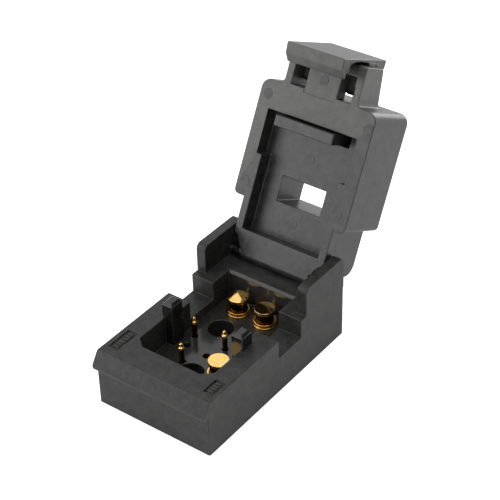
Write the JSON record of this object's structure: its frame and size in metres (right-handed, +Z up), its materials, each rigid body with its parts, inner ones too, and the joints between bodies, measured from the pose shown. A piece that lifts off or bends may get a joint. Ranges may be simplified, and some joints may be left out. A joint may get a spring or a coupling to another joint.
{
  "type": "ic test socket",
  "caption": "Clamshell test socket: a moulded base with sprung gold contacts in a cavity, and a hinged lid with a sprung latch, standing open.",
  "frame": {"origin": "middle of the base's underside, at the centre of the board screw pattern", "axes": "X across the socket, Y from the catch lip at the front to the hinge, Z up out of the board"},
  "size_m": [0.03, 0.0787, 0.0634],
  "materials": {
    "black_plastic": "glass-filled moulding, fine matt grain",
    "plate_plastic": "machined laminate, matt",
    "gold": "polished gold plate",
    "spring_steel": "drawn wire",
    "pin_steel": "ground"
  },
  "bodies": {
    "base": {"housing": "black_plastic", "retainer_plate": "plate_plastic", "retainer_screws": "pin_steel", "hinge_pin": "pin_steel", "hinge_springs": "spring_steel", "power_barrel_1": "gold", "power_spring_1": "spring_steel", "sense_barrel_1": "gold", "sense_spring_1": "spring_steel", "power_barrel_2": "gold", "power_spring_2": "spring_steel", "sense_barrel_2": "gold", "sense_spring_2": "spring_steel", "power_barrel_3": "gold", "power_spring_3": "spring_steel", "sense_barrel_3": "gold", "sense_spring_3": "spring_steel"},
    "cover": {"lid": "black_plastic", "presser_bar": "black_plastic", "latch_pin": "pin_steel", "latch_springs": "spring_steel"},
    "catch": {"latch": "black_plastic"},
    "power_contact_1": {"power_plunger_1": "gold"},
    "power_contact_2": {"power_plunger_2": "gold"},
    "power_contact_3": {"power_plunger_3": "gold"},
    "sense_contact_1": {"sense_plunger_1": "gold"},
    "sense_contact_2": {"sense_plunger_2": "gold"},
    "sense_contact_3": {"sense_plunger_3": "gold"}
  },
  "joints": [
    {"name": "lid_hinge", "type": "hinge", "parent": "base", "child": "cover", "pos_m": [0, 0.02003, 0.01562], "axis": [1, 0, 0], "range_deg": [0, 117.28], "stiffness_Nm_per_rad": 0.004, "springref_deg": -28.65, "deforming": ["hinge_springs"]},
    {"name": "latch_pivot", "type": "hinge", "parent": "cover", "child": "catch", "pos_m": [0, 0.04338, 0.05177], "axis": [-1, 0, 0], "range_deg": [0, 8], "stiffness_Nm_per_rad": 0.02, "springref_deg": -17.19, "deforming": ["latch_springs"]},
    {"name": "power_slide_1", "type": "slide", "parent": "base", "child": "power_contact_1", "axis": [0, 0, -1], "range_m": [0, 0.0015], "stiffness_N_per_m": 400, "springref_m": -0.0005, "deforming": ["power_spring_1"]},
    {"name": "power_slide_2", "type": "slide", "parent": "base", "child": "power_contact_2", "axis": [0, 0, -1], "range_m": [0, 0.0015], "stiffness_N_per_m": 400, "springref_m": -0.0005, "deforming": ["power_spring_2"]},
    {"name": "power_slide_3", "type": "slide", "parent": "base", "child": "power_contact_3", "axis": [0, 0, -1], "range_m": [0, 0.0015], "stiffness_N_per_m": 400, "springref_m": -0.0005, "deforming": ["power_spring_3"]},
    {"name": "sense_slide_1", "type": "slide", "parent": "base", "child": "sense_contact_1", "axis": [0, 0, -1], "range_m": [0, 0.0012], "stiffness_N_per_m": 200, "springref_m": -0.0005, "deforming": ["sense_spring_1"]},
    {"name": "sense_slide_2", "type": "slide", "parent": "base", "child": "sense_contact_2", "axis": [0, 0, -1], "range_m": [0, 0.0012], "stiffness_N_per_m": 200, "springref_m": -0.0005, "deforming": ["sense_spring_2"]},
    {"name": "sense_slide_3", "type": "slide", "parent": "base", "child": "sense_contact_3", "axis": [0, 0, -1], "range_m": [0, 0.0012], "stiffness_N_per_m": 200, "springref_m": -0.0005, "deforming": ["sense_spring_3"]}
  ]
}
